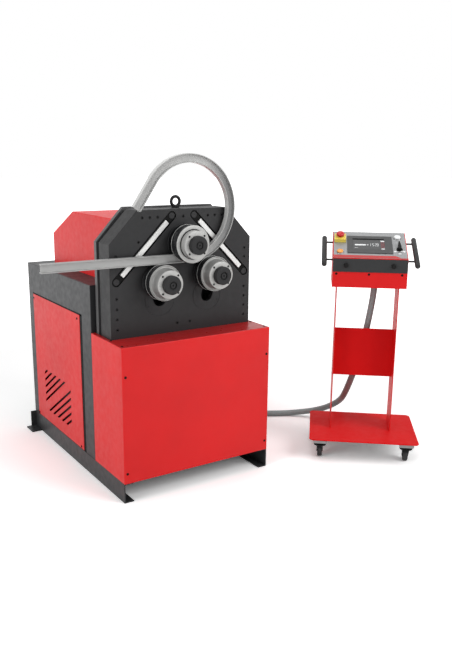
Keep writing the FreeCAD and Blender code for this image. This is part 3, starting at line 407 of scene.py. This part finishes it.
def screws(name, places, radius, height, material, body, drive=None):
    bm = bmesh.new()
    for place in places:
        if drive:
            socket_screw(bm, place, radius, height, drive)
        else:
            pan_screw(bm, place, radius, height)
    bmesh.ops.recalc_face_normals(bm, faces=bm.faces)
    piece(name, bm, material, body, smooth=30)


def slab(bm, low, high, place=Matrix()):
    # a box between two corners
    size = Vector(high) - Vector(low)
    middle = (Vector(high) + Vector(low)) / 2
    for vertex in bmesh.ops.create_cube(bm, size=1.0)["verts"]:
        local = Vector([vertex.co[i] * size[i] + middle[i] for i in range(3)])
        vertex.co = place @ local


def flat_shape(bm, outline, low, high, place):
    # pushes an (x, y) outline from low to high along the local z axis
    bottom = [bm.verts.new(place @ Vector((x, y, low))) for x, y in outline]
    top = [bm.verts.new(place @ Vector((x, y, high))) for x, y in outline]
    bm.faces.new(top)
    bm.faces.new(bottom[::-1])
    for i in range(len(outline)):
        j = (i + 1) % len(outline)
        bm.faces.new([bottom[i], bottom[j], top[j], top[i]])


# machine body
dressed("skids", DARK, 0.0008)
dressed("inner_frame", DARK, 0.0015)
cover = folded("front_cover", [RED, RED_TOP_PAINTED_SHADE], 0.0045)
# the cover's top face takes a deeper red: painted shade on the top
for polygon in cover.data.polygons:
    if polygon.normal.z > 0.9 and polygon.center.z > 0.6:
        polygon.material_index = 1
folded("cabinet_shell", DARK, 0.005)
folded("top_hood", RED, 0.005)
dressed("side_panel_left", RED, 0.0007)
dressed("side_panel_right", RED, 0.0007)
dressed("rear_panel", DARK, 0.0007)
SEAM = PLATE_BACK * MM - BACK
seamless("head_front_plate", HEAD, 0.0012, SEAM)
seamless("head_surround", [HEAD, BLACKED], 0.0010, SEAM, BLACKED_FROM * MM - BACK)
dressed("head_rear_plate", GREY, 0.0020)
dressed("guide_beds", BED, 0.0012)
dressed("guide_bars", GROUND, 0.0012)
dressed("lifting_eye", BLACKED, 0.0008)
for name in ("top_bearing_housing", "cylinder_barrels", "left_arm", "right_arm", "left_motor",
             "right_motor", "top_drive_motor", "hydraulic_unit"):
    dressed(name, INNER, 0.002)
dressed("arm_pivot_shaft", GROUND, 0.001)
dressed("left_rod", BLACKED, 0.001)
dressed("right_rod", BLACKED, 0.001)

# countersunk rims of the screw holes in the front plate
bm = bmesh.new()
top_row, side_column = 1342, 362.5
holes = [(s * x, top_row) for x in (0, 140, 181, 222) for s in (-1, 1) if x or s > 0]
holes += [(s * side_column, z) for z in (1168, 1123, 967, 917, 869, 818) for s in (-1, 1)]
holes += [(s * 244, 1229) for s in (-1, 1)] + [(s * 36, 817) for s in (-1, 1)]
countersink = sized([(4.6, -3.0), (5.1, -0.4), (7.4, 0.25), (7.7, 0.0)])
for x, z in holes:
    ring_mesh(bm, countersink, towards(spot(x, PLATE_FRONT, z), FRONT), 32)
bmesh.ops.recalc_face_normals(bm, faces=bm.faces)
piece("screw_hole_rims", bm, BED, "machine", smooth=30)

# round end blocks of the guide slots
bm = bmesh.new()
disc = sized([(15.5, -4.0), (15.5, 1.8), (14.7, 2.6), (4.0, 2.6), (3.4, 2.0), (0, 1.2)])
for s in (-1, 1):
    for x, z in ((62, 1347), (362, 1047)):
        ring_mesh(bm, disc, towards(spot(s * x, DISC_SEAT, z), FRONT), 48)
bmesh.ops.recalc_face_normals(bm, faces=bm.faces)
piece("guide_end_discs", bm, HEAD, "machine", smooth=30)

# rolls, nuts and shafts
ALONG_Y = Matrix.Rotation(math.radians(-90), 4, "X")


def axis_of(joint):
    x, y, z = JOINTS[joint]["pos_m"]
    return Matrix.Translation((x, -BACK, z)) @ ALONG_Y


def roll(tag, body, joint, groove, rim, footed):
    # a roll with its nut and shaft; outlines are (radius, distance behind the cover's front)
    place = axis_of(joint)
    centre = place.translation
    steel = turned(tag + "_turned_steel", centre, (0.40, 0.40, 0.39), 0.46, 0.45)
    dark = turned(tag + "_dark_steel", centre, (0.030, 0.031, 0.033), 0.24, 0.5)
    bright = turned(tag + "_rim_steel", centre, (0.42, 0.42, 0.41), 0.38, 0.7)
    # a darker steel for the hub wall of a lower roll: painted shade
    wall_painted_shade = turned(tag + "_hub_painted_shade", centre, (0.25, 0.25, 0.245), 0.50, 0.45)
    cap = turned(tag + "_nut_steel", centre, (0.018, 0.018, 0.019), 0.52, 0.0, gloss=0.22)
    ring = turned(tag + "_nut_ring", centre, (0.008, 0.008, 0.008), 0.55, 0.0, gloss=0.15)
    bore, hub, foot, dish = 30, 68, 73, 74.6
    hub_face, rear_face = 30, 154
    disc_back, rear_disc = 119, 149.5
    front = [(bore, hub_face), (66.4, hub_face), (67.5, 30.4), (hub, 31.4)]
    if footed:
        level = 65
        front += [(hub, 65), (hub, 71), (foot, 71), (foot, 65.4), (73.5, 65)]
    else:
        level = 78
        front += [(68.6, 60), (69.6, 70), (71.6, 77), (dish, 81), (78, 82.4), (rim - 4.2, 81.4),
                  (rim - 3, 78.4), (rim - 2.6, 78)]
    front += [(rim - 1.6, level), (rim - 0.5, level + 0.4), (rim, level + 1.5)]
    side = [(rim, level + 1.5), (rim, 116)]
    lip = [(rim, 116), (rim + 0.5, 116.1), (rim + 0.8, 116.5), (rim + 0.8, 118.5),
           (rim + 0.4, disc_back), (rim - 2, disc_back)]
    rear = [(rim - 2, disc_back), (groove, disc_back), (groove, rear_disc), (rim - 0.7, rear_disc),
            (rim, 150.2), (rim, 153.3), (rim - 0.7, rear_face), (bore, rear_face)]
    bm = bmesh.new()
    # the disc's side and the groove behind it take the near-black steel: partly a dark finish,
    # partly painted reflection on the polished side and painted shade in the groove
    for outline, slot in ((front, 0), (side, 1), (lip, 2), (rear, 1)):
        ring_mesh(bm, sized(outline), place, 128, slot)
    bmesh.ops.remove_doubles(bm, verts=bm.verts, dist=1e-6)
    bmesh.ops.recalc_face_normals(bm, faces=bm.faces)
    for face in bm.faces:
        # the foot of the top roll's hub takes the dark steel, painted shade in its groove; the hub
        # wall of a lower roll takes a darker steel, painted shade on its side
        spread = [(place.inverted() @ vertex.co) for vertex in face.verts]
        out = [point.xy.length / MM for point in spread]
        deep = [point.z / MM for point in spread]
        if min(out) > hub - 0.1:
            if footed and max(out) < foot + 0.1 and min(deep) > 64.9:
                face.material_index = 1
            if not footed and max(out) < dish + 0.1 and min(deep) > 31 and max(deep) < 82:
                face.material_index = 3
    piece(tag + "_roll_finish", bm, [steel, dark, bright, wall_painted_shade], body, tag + "_roll", smooth=34)

    # nut: its front lies 4 mm behind the cover's front
    nut = 4
    middle = [(4.6, nut + 2.2), (5.4, nut + 1.6), (12.4, nut + 1.6), (13, nut + 2.2)]
    pit = [(0, nut + 6), (3.8, nut + 5), (4.6, nut + 2.2)]
    flat = [(19.4, nut), (21, nut), (21.6, nut + 0.7), (22.6, nut + 0.7), (23.2, nut), (41.4, nut),
            (43.6, nut + 0.8), (45, nut + 3.2), (45, hub_face)]
    trench = [(13, nut + 2.2), (13.6, nut + 4.6), (18.4, nut + 4.6), (19, nut + 0.5), (19.4, nut)]
    bm = bmesh.new()
    # the pit and the trench take the darker black of the nut ring: painted shade in these recesses
    for outline, slot in ((middle, 0), (pit, 1), (flat, 0), (trench, 1)):
        ring_mesh(bm, sized(outline), place, 112, slot)
    bmesh.ops.remove_doubles(bm, verts=bm.verts, dist=1e-6)
    bmesh.ops.recalc_face_normals(bm, faces=bm.faces)
    piece(tag + "_nut_finish", bm, [cap, ring], body, tag + "_nut", smooth=34)

    shaft_end, waist = 480, 22
    outline = [(waist, nut + 8), (waist, hub_face), (bore, hub_face), (bore, shaft_end),
               (0, shaft_end)]
    lathe(tag + "_shaft_finish", sized(outline), place, steel, body, tag + "_shaft")

    corner, seat = 41.5 * MM, 30.2 * MM
    heads = [place @ Matrix.Translation((corner * a, corner * b, seat))
             @ Matrix.Rotation(math.pi, 4, "X") for a in (-1, 1) for b in (-1, 1)]
    screws(tag + "_collar_screws", heads, 5.4 * MM, 1.6 * MM, BLACKED, body, 2.9 * MM)


roll("top", "top_spin", "top_roll_spin", 51, 91, True)
roll("left", "left_spin", "left_roll_spin", 84.5, 86, False)
roll("right", "right_spin", "right_roll_spin", 84.5, 86, False)


# sample profile: one I section carried along straight, bend and tail, in millimetres
def profile():
    middle_high, middle_deep = 1143.2, 134
    start, bend_from, bend = -734, 16.0, 237.0
    sweep, tail = 236, 155
    straight_steps, bend_steps, tail_steps = 12, 96, 4
    # the painted highlight begins at this stop of the line
    highlight_from = 20
    half_wide, half_tall, half_web, flange = 14, 21, 3, 4.5
    half = [(half_wide, 0.4), (half_wide, 4.1), (13.6, flange), (4.2, flange), (3.35, 4.85),
            (half_web, 5.7)]
    quarter = half + [(x, 2 * half_tall - z) for x, z in reversed(half)]
    section = [(x, z - half_tall) for x, z in quarter]
    section = [(13.6, -half_tall)] + section + [(13.6, half_tall)]
    section += [(-x, z) for x, z in reversed(section)]

    centre = Vector((bend_from, 0, middle_high + bend))
    stops = []
    for i in range(straight_steps + 1):
        x = start + (bend_from - start) * i / straight_steps
        stops.append((Vector((x, 0, middle_high)), 0.0))
    for i in range(1, bend_steps + 1):
        angle = math.radians(sweep * i / bend_steps)
        stops.append((centre + Vector((bend * math.sin(angle), 0, -bend * math.cos(angle))), angle))
    bend_end, last = stops[-1][0], math.radians(sweep)
    along = Vector((math.cos(last), 0, math.sin(last)))
    for i in range(1, tail_steps + 1):
        stops.append((bend_end + along * (tail * i / tail_steps), last))

    # painted highlight: both flanges' outside and the inside of the upper one; the web has its own
    # colour with painted shade
    slots = []
    for (x0, z0), (x1, z1) in zip(section, section[1:] + section[:1]):
        face = abs(z0) == abs(z1) == half_tall or (z0 == z1 == half_tall - flange)
        slots.append(1 if face else 2 if abs(x0) == abs(x1) == half_web else 0)
    bm = bmesh.new()
    loops = []
    for point, angle in stops:
        up = Vector((-math.sin(angle), 0, math.cos(angle)))
        loops.append([bm.verts.new(spot(*(point + Vector((0, middle_deep + x, 0)) + up * z)))
                      for x, z in section])
    for k, (first, second) in enumerate(zip(loops, loops[1:])):
        for i in range(len(section)):
            j = (i + 1) % len(section)
            made = bm.faces.new([first[i], first[j], second[j], second[i]])
            made.material_index = slots[i] if k > highlight_from or slots[i] == 2 else 0
    bm.faces.new(loops[0][::-1])
    bm.faces.new(loops[-1])
    bmesh.ops.recalc_face_normals(bm, faces=bm.faces)
    piece("sample_profile_finish", bm, [BAR, BAR_PAINTED_HIGHLIGHT, WEB_PAINTED_SHADE], "machine", "sample_profile", smooth=32)


profile()

# screws of the front cover and the side panels
cover_top, panel_side = 773, 421
heads = [towards(spot(x, 0, z), FRONT) for x in (-403, 403) for z in (631, 151)]
heads += [towards(spot(s * 404, y, cover_top), TOP) for s in (-1, 1) for y in (28, 150)]
screws("cover_screws", heads, 6.6 * MM, 2.6 * MM, BED, "machine")
panel_spots = [(1162, 813), (518, 813), (520, 115), (1162, 112)]
heads = [towards(spot(-panel_side, y, z), LEFT) for y, z in panel_spots]
heads += [towards(spot(panel_side, y, z), RIGHT) for y, z in panel_spots]
screws("panel_screws", heads, 6.6 * MM, 2.4 * MM, BED, "machine")

# dark strips round the side panels: painted shadow along the panels' edges
bm = bmesh.new()
cabinet_side, half_thick = 418, 1.2
near, far, low, high = 465, 1177, 97, 843
for s in (-1, 1):
    for y0, y1, z0, z1 in ((near, near + 23, low, high), (far - 6, far, low, high),
                           (near, far, low, low + 8), (near, far, high - 8, high)):
        slab(bm, spot(s * cabinet_side - half_thick, y0, z0),
             spot(s * cabinet_side + half_thick, y1, z1))
piece("panel_edge_painted_shadow", bm, BED, "machine")

# screws of the rear panel and of the slot covers
panel_rear = 1253
heads = [towards(spot(x, panel_rear, z), REAR) for x in (-345, 345) for z in (145, 535, 925)]
screws("rear_panel_screws", heads, 5.2 * MM, 2.4 * MM, BLACKED, "machine")
slot_covers_high = PIVOT_HIGH - ARM_LONG * math.sin(math.radians(25))
heads = [towards(spot(x, PLATE_FRONT + 0.4, slot_covers_high + rise), FRONT)
         for x, rise in ((-197.6, -29.6), (-70.6, 29.6), (70.6, 29.6), (197.6, -29.6))]
screws("slot_cover_screws", heads, 4.6 * MM, 0.9 * MM, BLACKED, "machine", 2.4 * MM)

# console
base = dressed("console_base", [RED_SHADE, MOUNT], 0.0012)
# the caster mounts under the base are grey
MOUNT_TOP = 0.1245
for polygon in base.data.polygons:
    if max(base.data.vertices[i].co.z for i in polygon.vertices) < MOUNT_TOP:
        polygon.material_index = 1
dressed("console_posts", RED_CONSOLE, 0.0008)
dressed("console_back_panel", RED_SHADE, 0.0007)
folded("console_box", RED_CONSOLE, 0.003, 0.0007)
dressed("console_front_band", BAND, 0.0007)
dressed("console_faceplate", FACEPLATE, 0.0005)
dressed("display", [BEZEL], 0.0008)
dressed("estop_base", YELLOW, 0.004, 4)
dressed("estop_stem", RED_CAP, 0.0005)
dressed("selector_lever", KNOB, 0.0016, 3)
dressed("console_handles", HANDLE, 0.002, 3)
grip = sized([(0, -42), (8, -41.6), (12.2, -39.4), (13.8, -35), (13.8, 231), (12.2, 235.4),
              (8, 237.6), (0, 238)])
for side, u in (("left", 54), ("right", 534)):
    lathe("handle_grip_" + side, grip, face_at(u, 0, -17) @ ALONG_Y, HANDLE, "machine", count=40)
dressed("caster_fork_left", KNOB, 0.001)
dressed("caster_fork_right", KNOB, 0.001)
dressed("rear_caster_forks", KNOB, 0.001)
for name in ("wheel_front_left", "wheel_front_right", "wheel_rear_left", "wheel_rear_right"):
    dressed(name, TYRE, 0.0015, 3)
for name in ("knob_left", "knob_right"):
    dressed(name, KNOB, 0.002, 3)
dressed("hose_glands", PLASTIC, 0.002)
APRON_SCREWS_HIGH = 1.029
CONSOLE_FRONT = CONSOLE.to_3x3() @ Vector(FRONT)
heads = [towards(CONSOLE @ Vector((x, BOX_FRONT, APRON_SCREWS_HIGH)), CONSOLE_FRONT)
         for x in (0.120, 0.290, 0.461)]
screws("apron_screws", heads, 6.2 * MM, 2.4 * MM, BED, "machine")

# emergency stop head, push buttons and their rings
STOP_U, STOP_V = 137, 186
outline = [(0, 39.6), (6.8, 39.2), (12.6, 37.9), (17.6, 35.3), (20.8, 31.6), (22, 27.8),
           (21.2, 24.4), (19, 22), (17, 20.8), (15.6, 18.4), (5.2, 18.4)]
lathe("estop_head_finish", sized(outline), face_at(STOP_U, STOP_V, 10), RED_CAP, "estop_head",
      "estop_head", count=72)
outline = [(18.8, 9.6), (23.6, 9.6), (25.6, 10.6), (25.6, 12.4), (24.2, 13.8), (20, 14),
           (18.8, 13.4)]
lathe("estop_collar", sized(outline), face_at(STOP_U, STOP_V, 12), YELLOW, "machine", count=72,
      closed=True)
for name, u, v, radius, material in (("orange_button", 136, 57, 17, ORANGE),
                                     ("white_button", 443, 212, 18, WHITE)):
    outline = [(0, 14.4), (radius - 6, 14.2), (radius - 2.4, 13.4), (radius - 0.6, 12),
               (radius, 10.4), (radius, 7.4), (radius - 0.6, 7), (8, 7), (8, -11)]
    lathe(name + "_finish", sized(outline), face_at(u, v, 0), material, name, name, count=72)
    inside, outside = radius + 0.5, radius + 3
    outline = [(inside, 2), (outside, 2), (outside, 4.4), (radius + 2.2, 5.6), (radius + 1.1, 5.6),
               (inside, 5)]
    lathe(name + "_ring", sized(outline), face_at(u, v, 0), ZINC, "machine", count=72, closed=True)
outline = [(17, 2), (20.5, 2), (20.5, 3.6), (19.5, 4.6), (17.7, 4.6), (17, 4)]
lathe("selector_ring", sized(outline), face_at(448, 90, 0), ZINC, "machine", count=64, closed=True)

# marks round the selector, a red strip along the face's front edge
bm = bmesh.new()
mark = sized([(-6, -6), (6, -6), (7.6, 1), (0, 7.5), (-7.6, 1)])
for u, v, turn in ((424, 75, 40), (472, 76, -40), (448, 53, 0)):
    place = face_at(u, v, 2) @ Matrix.Rotation(math.radians(turn), 4, "Z")
    flat_shape(bm, mark, 0, 0.6 * MM, place)
piece("selector_marks", bm, WHITE, "machine")
bm = bmesh.new()
strip = sized([(104, 5), (484, 5), (484, 9), (452, 9), (425, 29), (104, 29)])
flat_shape(bm, strip, 2 * MM, 2.6 * MM, FACE)
piece("face_red_strip", bm, STRIP, "machine")

# screen glass with a plain readout, in millimetres on the face
FACE_MM = FACE @ Matrix.Scale(MM, 4)
GLASS, INK = 5.2, 5.6
STROKE = 0.9
STROKES = {"a": (0, 1, 1, 1), "b": (1, 0.5, 1, 1), "c": (1, 0, 1, 0.5), "d": (0, 0, 1, 0),
           "e": (0, 0, 0, 0.5), "f": (0, 0.5, 0, 1), "g": (0, 0.5, 1, 0.5)}
DIGITS = {"1": "bc", "2": "abged", "5": "afgcd", "0": "abcdef"}
bm = bmesh.new()
slab(bm, (204.5, 88.5, 4.6), (371.5, 197.5, GLASS), FACE_MM)
piece("screen_glass", bm, SCREEN, "machine", bevel=0.0003)


def printed(bm, u0, v0, u1, v1):
    slab(bm, (u0, v0, GLASS), (u1, v1, INK), FACE_MM)


def digit(bm, sign, u, v, wide, tall):
    # seven-stroke figure laid on the screen
    for stroke in DIGITS[sign]:
        x0, y0, x1, y1 = STROKES[stroke]
        printed(bm, u + x0 * wide - STROKE, v + y0 * tall - STROKE,
                u + x1 * wide + STROKE, v + y1 * tall + STROKE)


bm = bmesh.new()
for sign, u in (("1", 292), ("5", 308), ("2", 322), ("0", 333)):
    digit(bm, sign, u, 120, 6.5, 26)
for u0, u1, v0, v1 in ((215, 273, 124, 137), (278, 287, 129, 134), (352, 372, 166, 176),
                       (354, 371, 83, 96), (214, 232, 100, 102)):
    printed(bm, u0, v0, u1, v1)
piece("screen_readout", bm, WHITE, "machine")
bm = bmesh.new()
printed(bm, 205, 183, 371, 195)
piece("screen_header", bm, BED, "machine")
bm = bmesh.new()
for i in range(4):
    for u in (353, 363.5):
        printed(bm, u, 103 + 15.5 * i, u + 8.5, 114 + 15.5 * i)
piece("screen_keys", bm, KEYS, "machine")


# hose along its route
def on_console(x, y, z):
    return CONSOLE @ (Vector((x, y, z)) * MM)


# radius, and the centre line's height in millimetres where the hose lies on the floor
HOSE_RADIUS, LYING = 0.018, 18.5
route = [spot(446, 780, 150), spot(626, 780, 150), spot(775, 702, LYING),
         on_console(-225, 700, LYING), on_console(-100, 731, LYING), on_console(79, 700, 61),
         on_console(185, 570, 162), on_console(218, 443, 266), on_console(292, 383, 538),
         on_console(339, 333, 870), on_console(339, 333, 932)]
curve = bpy.data.curves.new("hose_run", "CURVE")
curve.dimensions = "3D"
line = curve.splines.new("NURBS")
line.points.add(len(route) - 1)
for point, place in zip(line.points, route):
    point.co = (*place, 1)
line.order_u = 3
line.use_endpoint_u = True
line.resolution_u = 24
curve.bevel_depth = HOSE_RADIUS
curve.bevel_resolution = 8
curve.use_fill_caps = True
curve.materials.append(HOSE)
hose = bpy.data.objects.new("hose_run", curve)
bpy.context.scene.collection.objects.link(hose)
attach(hose, "machine")
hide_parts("hose")
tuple(route[0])

# floor
bm = bmesh.new()
bmesh.ops.create_grid(bm, x_segments=2, y_segments=2, size=40)
mesh = bpy.data.meshes.new("studio_floor")
bm.to_mesh(mesh)
bm.free()
floor = bpy.data.objects.new("studio_floor", mesh)
bpy.context.scene.collection.objects.link(floor)
material, tree, shader = blank("studio_floor_white")
tree.nodes.remove(shader)
# what the camera and reflections see is a near-white floor that keeps the shadow; its glow grows
# with the distance from the machine, and what lights the object from below is a duller grey
GLOW_FROM, GLOW_TO = 1.9, 4.5
path = add(tree, "ShaderNodeLightPath")
seen = path.outputs["Is Camera Ray"]
for other in ("Is Glossy Ray", "Is Transmission Ray"):
    either = add(tree, "ShaderNodeMath", operation="MAXIMUM")
    tree.links.new(seen, either.inputs[0])
    tree.links.new(path.outputs[other], either.inputs[1])
    seen = either.outputs[0]
coords = add(tree, "ShaderNodeTexCoord")
far = add(tree, "ShaderNodeVectorMath", operation="LENGTH")
tree.links.new(coords.outputs["Object"], far.inputs[0])
glow = add(tree, "ShaderNodeEmission")
tree.links.new(ramp(tree, far.outputs["Value"], 0.05, 1.0, GLOW_FROM, GLOW_TO),
               glow.inputs["Strength"])
shade = add(tree, "ShaderNodeBsdfDiffuse", Color=(1.3, 1.3, 1.3, 1))
both = add(tree, "ShaderNodeAddShader")
tree.links.new(shade.outputs[0], both.inputs[0])
tree.links.new(glow.outputs[0], both.inputs[1])
soft = add(tree, "ShaderNodeBsdfDiffuse", Color=(0.62, 0.62, 0.62, 1))
pick = add(tree, "ShaderNodeMixShader")
tree.links.new(seen, pick.inputs[0])
tree.links.new(soft.outputs[0], pick.inputs[1])
tree.links.new(both.outputs[0], pick.inputs[2])
tree.links.new(pick.outputs[0], tree.nodes["Material Output"].inputs["Surface"])
mesh.materials.append(material)

# surroundings: white to the camera and in reflections, dimmer as a light
DIM, FULL = 0.45, 1.0
world = bpy.data.worlds.new("studio")
bpy.context.scene.world = world
world.use_nodes = True
tree = world.node_tree
sky = tree.nodes["Background"]
sky.inputs["Color"].default_value = (1, 1, 1, 1)
path = add(tree, "ShaderNodeLightPath")
seen = add(tree, "ShaderNodeMath", operation="MAXIMUM")
tree.links.new(path.outputs["Is Camera Ray"], seen.inputs[0])
tree.links.new(path.outputs["Is Glossy Ray"], seen.inputs[1])
also = add(tree, "ShaderNodeMath", operation="MAXIMUM")
tree.links.new(seen.outputs[0], also.inputs[0])
tree.links.new(path.outputs["Is Transmission Ray"], also.inputs[1])
tree.links.new(ramp(tree, also.outputs[0], DIM, FULL, 0, 1), sky.inputs["Strength"])


def lamp(name, place, size, energy):
    light = bpy.data.lights.new(name, "AREA")
    light.shape = "RECTANGLE"
    light.size, light.size_y = size
    light.energy = energy
    made = bpy.data.objects.new(name, light)
    bpy.context.scene.collection.objects.link(made)
    made.location = place
    made.rotation_euler = (Vector(place) - Vector(AIM)).to_track_quat("Z", "Y").to_euler()


# the lights' place, size and power, and the point that they aim at
AIM = (0.2, -0.8, 0.7)
lamp("key_soft", (2.6, -5.2, 3.6), (3.0, 3.0), 150)
lamp("top_soft", (0.0, -0.6, 4.6), (4.0, 3.0), 50)
lamp("left_fill", (-4.6, -1.6, 2.2), (2.4, 2.4), 90)

# camera as solved over the photo: focal length in pixels, turns in degrees, place in metres
PHOTO_TALL, SENSOR = 670, 36.0
CAMERA = {"focal": 739.255, "azimuth": -33.515, "elevation": 13.863, "roll": 0.612,
          "place": (-1.817876, -4.159132, 1.643334)}
a, e, r = (math.radians(CAMERA[key]) for key in ("azimuth", "elevation", "roll"))
back = Vector((math.sin(a) * math.cos(e), -math.cos(a) * math.cos(e), math.sin(e)))
side = Vector((0, 0, 1)).cross(back).normalized()
up = back.cross(side)
right = side * math.cos(r) + up * math.sin(r)
above = up * math.cos(r) - side * math.sin(r)
camera = bpy.data.cameras.new("photo_camera")
camera.sensor_fit = "VERTICAL"
camera.sensor_height = SENSOR
camera.lens = CAMERA["focal"] / PHOTO_TALL * SENSOR
seer = bpy.data.objects.new("photo_camera", camera)
bpy.context.scene.collection.objects.link(seer)
seer.matrix_world = Matrix((
    (right.x, above.x, back.x, CAMERA["place"][0]),
    (right.y, above.y, back.y, CAMERA["place"][1]),
    (right.z, above.z, back.z, CAMERA["place"][2]),
    (0, 0, 0, 1)))
bpy.context.scene.camera = seer
bpy.context.scene.view_settings.view_transform = "Standard"
